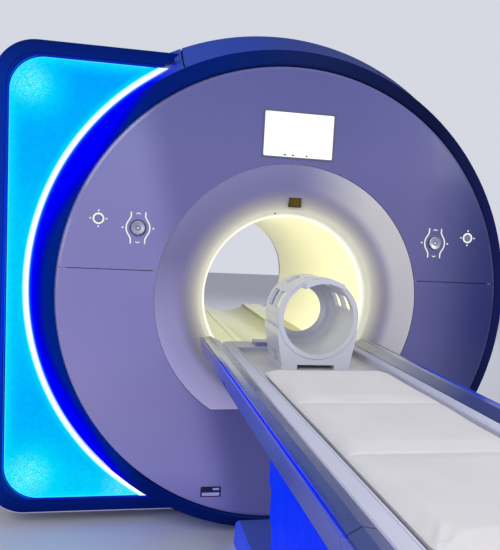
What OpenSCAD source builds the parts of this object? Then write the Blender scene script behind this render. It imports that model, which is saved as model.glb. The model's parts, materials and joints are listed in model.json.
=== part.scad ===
// Whole-body magnetic resonance scanner with a lifting patient table.
// Row frame in mm: origin on the floor below the middle of the bore,
// +X to the right seen from the front, +Y into the bore, +Z up.

/* [Overall] */
// Height of the bore axis above the floor
bore_h = 1060; // [1040:2:1080]
// Length from the front face to the rear face
body_len = 1730; // [1700:10:1800]
// Radius of the clear bore
bore_r = 350; // [345:1:355]
// Rise of the front disc's centre above the bore axis
disc_rise = 10; // [4:1:14]

/* [Front cover] */
// Radius of the white front disc
disc_r = 959; // [950:1:966]
// Thickness of the white front disc
disc_t = 10; // [8:1:14]
// Rounding of the disc's edge
disc_edge = 14; // [8:1:20]
// Joint width between cover pieces
joint_w = 3; // [2:0.5:5]
// Height of the split between the two halves, above the bore axis
split_up = 102; // [80:2:130]
// Radius of the funnel's seam circle
seam_r = 570; // [560:2:580]
// Level cut under the funnel, below the bore axis
seam_low = 475; // [460:1:490]
// Radius of the funnel at the light ring
lip_r = 382; // [376:1:390]
// Depth of the funnel at the light ring
lip_depth = 46; // [40:1:60]
// Depth at which the clear bore starts
mouth_depth = 107; // [95:1:120]

/* [Rim and shell] */
// Width of the dark rim ring, seen from the front
rim_w = 78; // [72:1:84]
// Depth of the rim ring's outer edge
rim_depth = 73; // [68:1:80]
// Wall of the rim ring and the shell
shell_t = 8; // [6:1:10]
// Growth of the radius over the flare behind the rim ring
flare_rise = 136; // [130:1:142]
// Depth at which the flare ends
flare_depth = 390; // [370:5:410]
// Half width of the top shell piece
top_half = 470; // [440:2:480]
// Width of the joint between two shell pieces
shell_gap = 7; // [4:1:9]
// Height of the shell's lower edge above the floor
skirt_h = 20; // [14:1:26]
// Depth of the rear cover's rounded edge
rear_edge = 50; // [40:1:60]
// Depth of the rear funnel
rear_funnel = 156; // [140:2:170]

/* [Light panel] */
// Depth of the panel's glowing face
panel_depth = 242; // [236:1:248]
// Reach of the glowing face beyond the shell's radius
panel_out = 8; // [2:1:14]
// Upper edge of the glowing face above the bore axis
panel_top = 960; // [950:1:970]
// Lower edge of the glowing face below the bore axis
panel_low = 937; // [925:1:945]
// Corner radius of the glowing face
panel_corner = 110; // [90:5:130]
// Width of the panel's dark frame
frame_w = 66; // [56:1:74]
// Width of the lower step round the inside of the frame
step_w = 12; // [8:1:16]
// Drop of the step below the frame's face
step_d = 3; // [2:0.5:4]
// Inner end of the frame's slanted upper right corner, from the middle
frame_cut = 563; // [550:1:575]
// Width of the light arc
arc_w = 20; // [14:1:22]
// Clearance between the shell and the light arc
arc_gap = 3; // [2:0.5:5]
// Depth of the panel housing
housing_d = 170; // [150:2:190]

/* [Controls] */
// Half width of the screen
screen_half = 150; // [140:1:160]
// Height of the screen
screen_h = 186; // [170:1:200]
// Height of the screen's lower edge above the bore axis
screen_low = 596; // [585:1:605]
// Distance of the jog dials outside the funnel's seam circle
jog_out = 74; // [66:1:84]
// Height of the jog dials above the bore axis
jog_up = 272; // [260:1:284]
// Radius of the jog dial
jog_r = 28; // [25:0.5:30]
// Radius of the lit brackets round the jog dial
jog_arc = 47; // [44:0.5:50]
// Radius of the push button in the jog dial
jog_push_r = 11; // [9:0.5:13]
// Distance of the small buttons inside the disc's radius
button_in = 159; // [152:1:172]
// Height of the small buttons above the bore axis
button_up = 302; // [290:1:314]
// Radius of the small button
button_r = 14; // [11:0.5:15]
// Travel of the push buttons
push = 3; // [2:0.5:4]
// Radial clearance of the turning and sliding controls
run_gap = 0.08; // [0.05:0.01:0.1]

/* [Table] */
// Length of the table chassis
table_len = 2440; // [2380:10:2500]
// Gap between the table's head end and the front face
dock_gap = 4; // [3:0.5:8]
// Half width of the table over its side bands
table_half = 374; // [368:1:380]
// Top of the side bands below the bore axis
band_drop = 164; // [160:1:168]
// Height of the side bands
band_h = 66; // [60:1:70]
// Half width of the sliding tabletop
top_w = 288; // [284:1:290]
// Edge of the tabletop below the bore axis
top_drop = 178; // [176:1:180]
// Flat underside of the tabletop below the bore axis
bed_drop = 232; // [228:1:236]
// Gap between the tabletop's foot end and the end of the table
end_margin = 36; // [20:1:60]
// Depth of the recess for the mattress
recess = 24; // [20:1:26]
// Channel left round the mattress in its recess
channel = 16; // [12:1:18]
// Half width of the mattress
pad_half = 224; // [218:1:226]
// Thickness of the mattress
pad_t = 38; // [30:1:45]
// Distance from the front face to the mattress's foot end
pad_end = 1800; // [1770:10:1850]
// Distance from the front face to the mattress's head end
pad_start = 545; // [530:5:570]
// Distance from the front face to the joint in the rail covers
rail_joint = 1764; // [1740:2:1780]
// Slant of the joint across the rail covers
joint_skew = 46; // [36:1:50]
// Distance of the crease in the rail covers from their outer edge
crease = 33; // [28:1:38]
// Width of the groove between a side band and its rail cover
groove_w = 6; // [4:0.5:8]
// Depth of the groove below the band's top
groove_d = 3; // [2:0.5:5]

/* [Head coil] */
// Outer radius of the head coil
coil_r = 146; // [142:1:152]
// Wall of the head coil
coil_wall = 14; // [11:1:16]
// Length of the head coil
coil_len = 280; // [265:5:290]
// Height of the head coil's axis, below the bore axis
coil_drop = 15; // [8:1:22]
// Length of the dome at the coil's head end
dome_len = 62; // [50:2:70]
// Rise of the dome towards the coil's axis
dome_in = 40; // [30:2:44]
// Corner radius of the coil's windows
coil_round = 13; // [9:1:15]

/* [Pedestal] */
// Half width of the top pedestal cover
ped_half = 250; // [240:1:260]
// Distance from the front face to the pedestal
ped_y = 780; // [760:5:800]
// Length of the top pedestal cover
ped_len = 1000; // [950:10:1050]
// Wall of the pedestal covers
ped_wall = 5; // [4:0.5:6]
// Gap between two nested pedestal covers
ped_gap = 3; // [2.5:0.5:4]
// Lower edge of the top cover
stage1_z = 592; // [585:1:600]
// Lower edge of the second cover
stage2_z = 480; // [475:1:488]
// Lower edge of the third cover
stage3_z = 370; // [365:1:376]
// Outer width of the lift column
col_w = 140; // [130:1:150]
// Wall of the lift column's tubes
col_wall = 8; // [6:0.5:10]
// Clearance between the column's tubes, each side
col_gap = 0.4; // [0.3:0.1:0.8]

/* [Hidden] */
$fn = 200;
seat = 0.3;
y_face = -body_len / 2;
disc_h = bore_h + disc_rise;
rim_in = disc_r + joint_w;
rim_foot = disc_t + 18;
rim_front = 4;
frame_t = 6;
rim_back = rim_depth + shell_t;
rim_r = rim_in + rim_w;
shell_r = rim_r + flare_rise;
panel_x = shell_r + panel_out;
liner_end = body_len - rear_funnel;
rear_flat = body_len - shell_t;
flare_n = 6;
function flare_at(t) = rim_r + 3 + (flare_rise - 4) * (0.2 * t + 0.8 * t * t);
flare_line = [for (i = [0:flare_n])
  [flare_at(i / flare_n), rim_back + (flare_depth - rim_back) * i / flare_n]];
vessel_r = disc_r - 29;
vessel_in = bore_r + 105;
vessel_d0 = 180;
vessel_d1 = body_len - 170;
vessel_t = 12;
mass_r0 = vessel_in + 45;
mass_r1 = vessel_r - 50;
hoop_d = 500;
hoop_w = 40;
foot_y = 430;
foot_h = 25;
foot_top = 320;
anchor_x = 265;
foot_x0 = anchor_x - 35;
foot_x1 = foot_x0 + 178;
skirt_w = 25;
skirt_x = max(foot_x1 + skirt_w + 20,
  sqrt(max(pow(shell_r, 2) - pow(disc_h - skirt_h, 2), pow(bore_r, 2))));
bezel_w = 5;
jog_x = seam_r + jog_out;
button_x = disc_r - button_in;
seat_r = button_r + 9;
jog_shaft = 12;
lens_x = 6;
lens_up = 412;
lens_w = 52;
lens_h = 40;
lens_d = 20;
rear_in = bore_r + 80;
lift = 360;
chassis_z = bore_h - bed_drop - 38;
base_top = chassis_z - lift - 35;
low_top = chassis_z - 2 * lift / 3 - 10;
mid_top = chassis_z - lift / 3 - 20;
house_d0 = panel_depth + 10;
house_w = frame_w - 14;
arc_r0 = flare_at((house_d0 - rim_back) / (flare_depth - rim_back)) + arc_gap;
arc_r1 = arc_r0 + arc_w;
cut_slope = 1.1;
band_taper = 14;
rail_in = top_w + joint_w;
rail_out = table_half - 12.3;
crease_x = rail_out - crease;
trough_r = bore_r - 65;
rail_t = 8;
strip_t = 3;
strip_x = 150;
strip_w = 30;
beam_w = 50;
pulley_r = 11;
belt_t = 1.5;
belt_w = 30;
head_d = -dock_gap;
foot_d = -dock_gap - table_len;
top_head = head_d - 4;
top_foot = foot_d + end_margin;
roller_z = -bed_drop - 3.5 - 1.5 - 11 - 0.1;
idler_d = -60;
drive_d = foot_d + 60;
col_y = ped_y + 500;
stage_step = ped_wall + ped_gap;
recess_d = -140;
coil_z = -coil_drop;
coil_d0 = recess_d - 5;
coil_d1 = coil_d0 - coil_len;
coil_n = 7;
split = 0.2;
function dome_r(t) = coil_r - dome_in * (1 - sqrt(max(0, 1 - t * t)));
function dome_d(t) = coil_d0 - dome_len * (1 - t);

module bore_axis() {
  translate([0, y_face, bore_h]) rotate([-90, 0, 0]) children();
}

module disc_axis() {
  translate([0, y_face, disc_h]) rotate([-90, 0, 0]) children();
}

// A front-view outline (x, height above the bore axis) made solid from depth d0 to d1
module slab(d0, d1) {
  translate([0, y_face + d1, bore_h]) rotate([90, 0, 0]) linear_extrude(d1 - d0) children();
}

module both() {
  children();
  mirror([1, 0, 0]) children();
}

module rrect(x0, z0, x1, z1, r) {
  translate([x0 + r, z0]) square([x1 - x0 - 2 * r, z1 - z0]);
  translate([x0, z0 + r]) square([x1 - x0, z1 - z0 - 2 * r]);
  for (x = [x0 + r, x1 - r], z = [z0 + r, z1 - r]) translate([x, z]) circle(r);
}

module band_box(z0, z1) {
  translate([-1500, y_face - 20, z0]) cube([3000, body_len + 40, z1 - z0]);
}

// Room for the magnet's feet, with clearance c
module foot_room(c) {
  both() for (y = [-foot_y, foot_y]) translate([foot_x0 - c, y - 100 - c, -1])
    cube([foot_x1 - foot_x0 + 2 * c, 200 + 2 * c, foot_top + c]);
}

module off_floor() {
  difference() {
    children();
    band_box(-500, skirt_h);
    foot_room(seat);
  }
}

// Gantry covers

module disc_blank() {
  disc_axis() rotate_extrude() polygon([
    [0, 0], [disc_r - disc_edge, 0], [disc_r - 0.3 * disc_edge, 0.3 * disc_edge],
    [disc_r, disc_edge], [disc_r, rim_foot], [disc_r - shell_t, rim_foot],
    [disc_r - shell_t, disc_t], [0, disc_t]]);
}

module cover_cuts() {
  intersection() {
    bore_axis() translate([0, 0, -10]) cylinder(r = seam_r, h = 60);
    band_box(bore_h - seam_low, bore_h + 900);
  }
  slab(-10, 60) translate([-screen_half - bezel_w, screen_low - bezel_w])
    square([2 * (screen_half + bezel_w), screen_h + 2 * bezel_w]);
  both() slab(-10, 60) translate([jog_x, jog_up]) circle(jog_r + 8);
  both() slab(-10, 60) translate([button_x, button_up]) circle(seat_r + seat);
}

module front_cover_upper() {
  color("gainsboro") difference() {
    disc_blank();
    cover_cuts();
    band_box(-500, bore_h + split_up + joint_w / 2);
  }
}

module front_cover_lower() {
  color("gainsboro") difference() {
    disc_blank();
    cover_cuts();
    band_box(bore_h + split_up - joint_w / 2, 3000);
  }
}

function funnel_r(t) = lip_r + (seam_r - joint_w - 12 - lip_r) * (1 - t);
function funnel_d(t) = lip_depth * pow(t, 1.9);

module funnel() {
  n = 10;
  color("whitesmoke") difference() {
    bore_axis() rotate_extrude() polygon(concat(
      [[seam_r - joint_w, disc_t], [seam_r - joint_w, 0]],
      [for (i = [0:n]) [funnel_r(i / n), funnel_d(i / n)]],
      [for (i = [n:-1:0]) [funnel_r(i / n), max(disc_t, funnel_d(i / n) + shell_t)]]));
    band_box(0, bore_h - seam_low + joint_w);
    slab(-10, 80) translate([lens_x, lens_up]) square([lens_w, lens_h], center = true);
  }
}

module bore_light_ring() {
  r = lip_r - seat;
  color("lightyellow") bore_axis() rotate_extrude() polygon([
    [r, lip_depth], [r - 11, lip_depth + 14], [r - 23, lip_depth + 37], [bore_r, mouth_depth],
    [bore_r + shell_t, mouth_depth], [r - 15, lip_depth + 40], [r - 5, lip_depth + 20],
    [r, lip_depth + 12]]);
}

module bore_liner() {
  color("ivory") bore_axis() translate([0, 0, mouth_depth]) difference() {
    cylinder(r = bore_r + shell_t, h = liner_end - mouth_depth);
    translate([0, 0, -1]) cylinder(r = bore_r, h = liner_end - mouth_depth + 2);
  }
}

module rim_ring() {
  color("darkslateblue") disc_axis() rotate_extrude() polygon([
    [rim_in, rim_front + 6], [rim_in + 8, rim_front], [rim_r - 10, rim_depth - 13], [rim_r, rim_depth],
    [rim_r, rim_back], [rim_r - 9, rim_back], [rim_r - 18, rim_depth - 5],
    [rim_in + 10, 20], [rim_in + 10, rim_foot], [rim_in, rim_foot]]);
}

module shell_profile() {
  polygon(concat(
    flare_line,
    [[shell_r, flare_depth + 25], [shell_r, body_len - rear_edge],
    [shell_r - shell_t, body_len - rear_edge], [shell_r - shell_t, flare_depth + 25]],
    [for (i = [flare_n:-1:0]) flare_line[i] - [shell_t, 0]]));
}

module shell_all() {
  off_floor() disc_axis() rotate_extrude() shell_profile();
}

module shell_top() {
  color("lightgray") intersection() {
    shell_all();
    translate([-top_half + shell_gap / 2, y_face, disc_h])
      cube([2 * top_half - shell_gap, body_len, shell_r + 10]);
  }
}

module shell_side() {
  intersection() {
    shell_all();
    union() {
      translate([-shell_r - 10, y_face, 0]) cube([shell_r + 10, body_len, disc_h]);
      translate([-shell_r - 10, y_face, disc_h - 1])
        cube([shell_r + 10 - top_half - shell_gap / 2, body_len, shell_r + 10]);
    }
  }
}

module shell_left() {
  color("lightgray") shell_side();
}

module shell_right() {
  color("lightgray") mirror([1, 0, 0]) shell_side();
}

module rear_cover() {
  color("lightgray") difference() {
    union() {
      off_floor() disc_axis() rotate_extrude() polygon([
        [rear_in - 30, rear_flat], [rear_in - 30, body_len], [shell_r - 40, body_len],
        [shell_r - 14, body_len - 9], [shell_r - 3, body_len - 28],
        [shell_r, body_len - rear_edge], [shell_r - shell_t, body_len - rear_edge],
        [shell_r - 12, body_len - 32], [shell_r - 22, body_len - 17],
        [shell_r - 42, rear_flat]]);
      bore_axis() rotate_extrude() polygon([
        [bore_r, liner_end], [bore_r + 5, liner_end + 0.3 * rear_funnel],
        [bore_r + 18, liner_end + 0.6 * rear_funnel],
        [bore_r + 42, liner_end + 0.85 * rear_funnel], [rear_in, body_len],
        [rear_in + 2, body_len], [rear_in + 2, rear_flat],
        [bore_r + 50, liner_end + 0.8 * rear_funnel],
        [bore_r + 27, liner_end + 0.58 * rear_funnel],
        [bore_r + 13, liner_end + 0.28 * rear_funnel], [bore_r + shell_t, liner_end]]);
    }
    bore_axis() rotate_extrude() polygon([
      [0, liner_end - 1], [bore_r, liner_end - 1], [bore_r, liner_end],
      [bore_r + 5, liner_end + 0.3 * rear_funnel],
      [bore_r + 18, liner_end + 0.6 * rear_funnel],
      [bore_r + 42, liner_end + 0.85 * rear_funnel], [rear_in, body_len],
      [rear_in, body_len + 5], [0, body_len + 5]]);
    both() for (i = [0:9])
      slab(rear_flat - 5, body_len + 5) translate([560, -620 + 26 * i]) square([190, 10]);
  }
}

module base_skirt() {
  color("dimgray") both() translate([skirt_x - 4 - skirt_w, y_face + flare_depth + 5, 0])
    cube([skirt_w, body_len - rear_edge - flare_depth - 10, skirt_h]);
}

// Light panel on the left

module disc_circle(r) {
  translate([0, disc_rise]) circle(r);
}

module glow_area(in) {
  rrect(-panel_x + in, -panel_low + in, 0, panel_top - in, panel_corner - in);
}

// Space to the right of the slanted end, left free above the glowing face
module end_cut(in) {
  low = -20 - in;
  translate([-frame_cut - in * sqrt(1 + cut_slope * cut_slope), panel_top]) polygon([
    [cut_slope * low, low], [cut_slope * 200, 200], [frame_cut + 200, 200],
    [frame_cut + 200, low]]);
}

module panel_frame() {
  color("midnightblue") difference() {
    slab(panel_depth - 6, house_d0) difference() {
      glow_area(-frame_w);
      glow_area(0);
      disc_circle(arc_r0);
      end_cut(0);
    }
    slab(panel_depth - 7, panel_depth - 6 + step_d) glow_area(-step_w);
    slab(panel_depth - 7, panel_depth - 6 + step_d) difference() {
      glow_area(-frame_w - 5);
      glow_area(step_d - frame_w);
    }
  }
}

module panel_diffuser() {
  color("deepskyblue") slab(panel_depth, house_d0) difference() {
    glow_area(seat);
    disc_circle(arc_r1 + seat);
  }
}

module light_arc() {
  color("white") slab(panel_depth - 3, house_d0) intersection() {
    difference() {
      disc_circle(arc_r1);
      disc_circle(arc_r0);
    }
    glow_area(seat);
  }
}

module house_area(in) {
  difference() {
    glow_area(in - house_w);
    end_cut(in);
  }
}

module panel_housing() {
  color("slategray") difference() {
    slab(house_d0, house_d0 + housing_d) house_area(0);
    slab(house_d0 + shell_t, house_d0 + housing_d - shell_t) house_area(shell_t);
    disc_axis() rotate_extrude() polygon(concat(
      [[0, rim_back]], [for (p = flare_line) p + [seat, 0]],
      [[shell_r + seat, flare_depth + 25], [shell_r + seat, body_len], [0, body_len]]));
    foot_room(seat);
  }
}

// Screen and controls on the front face

module screen_bezel() {
  w = screen_half + bezel_w - seat;
  z0 = screen_low - bezel_w + seat;
  h = screen_h + 2 * (bezel_w - seat);
  color("dimgray") difference() {
    slab(-1.5, 40) translate([-w, z0]) square([2 * w, h]);
    slab(-3, 6) translate([-screen_half - 0.2, screen_low - 0.2])
      square([2 * screen_half + 0.4, screen_h + 0.4]);
    slab(-3, 36) translate([-screen_half + 6, screen_low + 6])
      square([2 * screen_half - 12, screen_h - 12]);
  }
}

module screen() {
  color("white") slab(0, 6) translate([-screen_half, screen_low])
    square([2 * screen_half, screen_h]);
}

module front_turn(x, up) {
  translate([x, y_face, bore_h + up]) rotate([-90, 0, 0]) rotate_extrude() children();
}

module jog_seats() {
  color("darkgray") both() {
    front_turn(jog_x, jog_up) polygon([
      [jog_shaft + run_gap, 7], [jog_r + 2, 7], [jog_r + 5, 0], [jog_r + 8 - seat, 0],
      [jog_r + 8 - seat, 22], [jog_shaft + run_gap, 22]]);
    front_turn(button_x, button_up) polygon([
      [button_r + run_gap, 0], [seat_r, 0], [seat_r, 20], [4 + run_gap, 20],
      [4 + run_gap, 15], [button_r + run_gap, 15]]);
  }
}

module jog_bracket() {
  difference() {
    circle(jog_arc + 2.5);
    circle(jog_arc - 2.5);
    translate([-200, -100]) square([200 + jog_arc * cos(40), 200]);
  }
  for (s = [-1, 1]) scale([1, s, 1]) {
    translate([jog_arc * cos(40), jog_arc * sin(40)]) rotate(117)
      translate([-1, -2.5]) square([18, 5]);
    translate([jog_arc * cos(40) - 10, 44]) square([5, 20]);
  }
}

module control_marks() {
  color("white") both() {
    slab(-1, 0) translate([jog_x, jog_up]) {
      jog_bracket();
      mirror([1, 0, 0]) jog_bracket();
      for (s = [-1, 1]) {
        translate([s * 61, 0]) circle(3.5);
        translate([0, s * 57]) scale([1, s, 1])
          polygon([[-9, -3], [-9, 0], [0, 5], [9, 0], [9, -3], [0, 1]]);
      }
    }
    slab(-1, 0) translate([button_x, button_up]) {
      difference() {
        circle(seat_r - 0.3);
        circle(seat_r - 7);
      }
      for (a = [0:90:270]) rotate(a) translate([seat_r + 5, -2.5]) square([7, 5]);
    }
  }
}

module jog_dial(x) {
  color("silver") front_turn(x, jog_up) polygon([
    [jog_push_r + run_gap, -7], [jog_r - 3, -9], [jog_r, -6], [jog_r, 6.7],
    [jog_shaft, 6.7], [jog_shaft, 22.3], [jog_shaft + 5, 22.3], [jog_shaft + 5, 25.3],
    [5 + run_gap, 25.3], [5 + run_gap, 0], [jog_push_r + run_gap, 0]]);
}

module jog_push(x) {
  color("white") front_turn(x, jog_up) polygon([
    [0, -7.8], [jog_push_r - 2, -7.8], [jog_push_r, -6.5], [jog_push_r, -push - 0.4],
    [5, -push - 0.4], [5, 25.6], [8, 25.6], [8, 28], [0, 28]]);
}

module push_button(x) {
  color("white") front_turn(x, button_up) polygon([
    [0, -push - 1], [button_r - 2, -push - 1], [button_r, -push + 1], [button_r, 11],
    [4, 11], [4, 20.3], [7, 20.3], [7, 22], [0, 22]]);
}

module jog_dial_left() {
  jog_dial(-jog_x);
}

module jog_dial_right() {
  jog_dial(jog_x);
}

module jog_push_left() {
  jog_push(-jog_x);
}

module jog_push_right() {
  jog_push(jog_x);
}

module button_left() {
  push_button(-button_x);
}

module button_right() {
  push_button(button_x);
}

module funnel_lenses() {
  color("goldenrod") slab(lens_d, lens_d + 22) translate([lens_x, lens_up])
    square([lens_w - 2 * seat, lens_h - 2 * seat], center = true);
}

// Frames, magnet and coils inside

module ring_at(r0, r1, d0, d1) {
  translate([0, 0, d0]) difference() {
    cylinder(r = r1, h = d1 - d0);
    translate([0, 0, -1]) cylinder(r = r0, h = d1 - d0 + 2);
  }
}

module front_frame() {
  r0 = min(seam_r + 30, screen_low - bezel_w - 4);
  r1 = disc_r - 18;
  color("gray") {
    bore_axis() ring_at(seam_r - joint_w - 11, r0, disc_t, disc_t + frame_t);
    disc_axis() ring_at(r1 - 16, r1, disc_t, rim_foot + frame_t);
    disc_axis() ring_at(r1 - 1, rim_in + 12, rim_foot, rim_foot + frame_t);
    disc_axis() for (a = [0, 45, 90, 135, 180, 225, 315]) rotate([0, 0, a]) {
      translate([seam_r + 4, -25, disc_t]) cube([r1 - seam_r - 14, 50, frame_t]);
      translate([760, 0, disc_t]) cylinder(r = 18, h = vessel_d0 - disc_t);
    }
  }
}

module cover_hoops() {
  color("gray") difference() {
    off_floor() disc_axis() for (d = [hoop_d, body_len - hoop_d]) {
      ring_at(shell_r - 42, shell_r - shell_t - seat, d, d + hoop_w);
      for (a = [-225:45:45]) rotate([0, 0, a]) translate([vessel_r - 15, -hoop_w / 2, d])
        cube([shell_r - vessel_r - 22, hoop_w, hoop_w]);
    }
    bore_axis() cylinder(r = vessel_r + seat, h = body_len);
  }
}

module magnet_vessel() {
  color("lightsteelblue") difference() {
    bore_axis() ring_at(vessel_in, vessel_r, vessel_d0, vessel_d1);
    bore_axis() ring_at(vessel_in + vessel_t, vessel_r - vessel_t,
      vessel_d0 + 20, vessel_d1 - 20);
    translate([0, 0, bore_h + vessel_r - 60]) cylinder(r = 60, h = 100);
  }
}

module cold_mass() {
  color("peru") bore_axis() {
    ring_at(mass_r0, mass_r1, vessel_d0 + 90, vessel_d1 - 90);
    for (d = [vessel_d0 + 160, vessel_d1 - 160], a = [22.5:45:360]) rotate([0, 0, a])
      translate([mass_r1 - 5, 0, d]) rotate([0, 90, 0])
        cylinder(r = 14, h = vessel_r - vessel_t - mass_r1 + 4.3);
  }
}

module cold_head() {
  z = bore_h + vessel_r;
  color("silver") {
    translate([0, 0, z - 40]) cylinder(r = 50, h = 60);
    translate([0, 0, z + seat]) cylinder(r = 90, h = 14);
    translate([0, 0, z + 10]) cylinder(r = 55, h = 120);
    translate([0, 0, z + 125]) cylinder(r = 70, h = 50);
  }
}

module gradient_coil() {
  r0 = bore_r + shell_t + seat;
  r1 = vessel_in - seat;
  color("darkolivegreen") bore_axis() {
    ring_at(r0 + 14, r1 - 15, vessel_d0 + 40, vessel_d1 - 40);
    ring_at(r0, r1, vessel_d0 + 40, vessel_d0 + 60);
    ring_at(r0, r1, vessel_d1 - 60, vessel_d1 - 40);
  }
}

module magnet_feet() {
  color("dimgray") difference() {
    both() for (y = [-foot_y, foot_y]) {
      translate([foot_x0, y - 100, 0]) cube([foot_x1 - foot_x0, 200, foot_h]);
      translate([foot_x1 - 108, y - 70, 20]) cube([100, 140, foot_top - 20]);
    }
    bore_axis() cylinder(r = vessel_r + seat, h = body_len);
    both() for (y = [-foot_y, foot_y]) translate([anchor_x, y, -1])
      cylinder(r = 11, h = 30);
  }
}

// Table parts fixed to the floor and the gantry

// Crescent under the tabletop: outer circle, level top and round trough
module guide_area(r, top, trough) {
  difference() {
    circle(r);
    translate([-2 * bore_r, top]) square(4 * bore_r);
    circle(trough);
  }
}

module table_guide() {
  top = -bed_drop - seat;
  color("whitesmoke") slab(4, body_len - 4) {
    difference() {
      guide_area(bore_r - seat, top - strip_t, trough_r);
      guide_area(bore_r - seat - shell_t, top - strip_t - shell_t, trough_r + shell_t);
    }
    for (s = [-1, 1]) translate([s * strip_x - strip_w / 2, top - strip_t - 20])
      square([strip_w, strip_t + 20]);
  }
}

module plinth() {
  y1 = ped_y + 3 * stage_step - seat;
  z = -bore_h;
  color("lightsteelblue") slab(-y1, rim_front - seat) polygon([
    [-182, z], [-178, z + 90], [-164, z + 100], [164, z + 100], [178, z + 90], [182, z]]);
}

module plan_box(k, grow, z0, z1) {
  s = k * stage_step - grow;
  translate([0, 0, z0]) linear_extrude(z1 - z0)
    rrect(-ped_half + s, y_face - ped_y - ped_len + s, ped_half - s, y_face - ped_y - s,
      40 - s);
}

module stage_cover(k, z0, z1) {
  difference() {
    union() {
      plan_box(k, 0, z0, z1);
      if (k > 0) plan_box(k, ped_gap - seat, z1 - 12, z1);
    }
    plan_box(k, -ped_wall, z0 - 1, z1 + 1);
  }
}

module base_plate() {
  color("dimgray") difference() {
    plan_box(3, -ped_wall - seat, 0, 12);
    bolt_spots() cylinder(r = 9, h = 40, center = true);
  }
}

module bolt_spots() {
  for (x = [-180, 180], d = [ped_y + 90, ped_y + ped_len - 90])
    translate([x, y_face - d, 0]) children();
}

module anchor_bolts() {
  color("silver") bolt_spots() {
    cylinder(r = 8.5, h = 20);
    translate([0, 0, 12]) cylinder(r = 17, h = 3);
    translate([0, 0, 15]) cylinder(r = 15, h = 10, $fn = 6);
  }
}

module pedestal_base() {
  color("lightsteelblue") stage_cover(3, 0, base_top);
}

module square_tube(w, z0, z1) {
  translate([0, y_face - col_y, z0]) difference() {
    translate([-w / 2, -w / 2, 0]) cube([w, w, z1 - z0]);
    translate([-w / 2 + col_wall, -w / 2 + col_wall, -1])
      cube([w - 2 * col_wall, w - 2 * col_wall, z1 - z0 + 2]);
  }
}

module column_outer() {
  color("silver") square_tube(col_w, 12, base_top - 5);
}

// Lift stages

module pedestal_lower() {
  color("lightsteelblue") stage_cover(2, stage3_z, low_top);
}

module column_middle() {
  w = col_w - 2 * (col_wall + col_gap);
  half = ped_half - 2 * stage_step - ped_wall - seat;
  color("silver") {
    square_tube(w, 160, low_top - 6);
    for (x = [-half, w / 2 - 2]) translate([x, y_face - col_y - 25, low_top - 16])
      cube([half - w / 2 + 2, 50, 10]);
  }
}

module pedestal_middle() {
  color("lightsteelblue") stage_cover(1, stage2_z, mid_top);
}

module pedestal_upper() {
  color("lightsteelblue") stage_cover(0, stage1_z, chassis_z);
}

module column_inner() {
  color("silver") square_tube(col_w - 4 * (col_wall + col_gap), low_top - 120, chassis_z);
}

// Table chassis and covers

function rail_under(x) = -band_drop + 0.7 - rail_t
  - (rail_out - x) * (top_drop - band_drop + 1) / (rail_out - rail_in);

module chassis_outline() {
  u = chassis_z - bore_h;
  o = table_half - 24.3;
  polygon([
    [-o, rail_under(o)], [-o, -band_drop - band_h - 2], [-o + 12, u + 8], [-o + 50, u],
    [o - 50, u], [o - 12, u + 8], [o, -band_drop - band_h - 2], [o, rail_under(o)],
    [rail_in + 5, rail_under(rail_in + 5)], [rail_in + 5, u + 8],
    [-rail_in - 5, u + 8], [-rail_in - 5, rail_under(rail_in + 5)]]);
}

module chassis() {
  color("slategray") slab(foot_d, head_d - 5) chassis_outline();
}

module deck_beams() {
  color("silver") difference() {
    both() slab(foot_d, head_d - 5)
      translate([strip_x - beam_w / 2, chassis_z - bore_h + 8])
        square([beam_w, bore_h - chassis_z - 8 - bed_drop - seat]);
    for (d = [idler_d, drive_d]) roller_axis(d) cylinder(r = 4 + run_gap, h = 500, center = true);
  }
}

module band_outline() {
  polygon([
    [table_half, -band_drop - 2], [table_half - band_taper, -band_drop - band_h],
    [table_half - 24, -band_drop - band_h], [table_half - 24, -band_drop - 13],
    [table_half - 12, -band_drop - 13], [table_half - 12, -band_drop - groove_d],
    [table_half - 12 + groove_w, -band_drop - groove_d], [table_half - 12 + groove_w, -band_drop],
    [table_half - 2, -band_drop]]);
}

module rail_outline() {
  polygon([
    [rail_out, -band_drop + 1], [crease_x, -band_drop + 4], [rail_in, -top_drop],
    [rail_in, -top_drop - rail_t], [rail_out, -band_drop + 1 - rail_t]]);
}

// Plan of everything on the head side of the rail joint, right half
module head_side(g) {
  translate([0, y_face, 0]) linear_extrude(bore_h) polygon([
    [0, 100], [0, joint_skew - rail_joint + g], [rail_in, joint_skew - rail_joint + g],
    [rail_out, -rail_joint + g], [table_half, -rail_joint + g], [table_half, 100]]);
}

module side_band() {
  difference() {
    slab(-rail_joint, head_d) band_outline();
    translate([table_half - 30, y_face - 583, bore_h - 226]) rotate([0, 90, 0])
      cylinder(r = 6, h = 40);
  }
}

module side_band_right() {
  color("lavender") side_band();
}

module side_band_left() {
  color("lavender") mirror([1, 0, 0]) side_band();
}

module rail_cover() {
  intersection() {
    slab(-rail_joint, head_d) rail_outline();
    head_side(0);
  }
}

module rail_cover_right() {
  color("slategray") rail_cover();
}

module rail_cover_left() {
  color("slategray") mirror([1, 0, 0]) rail_cover();
}

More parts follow.
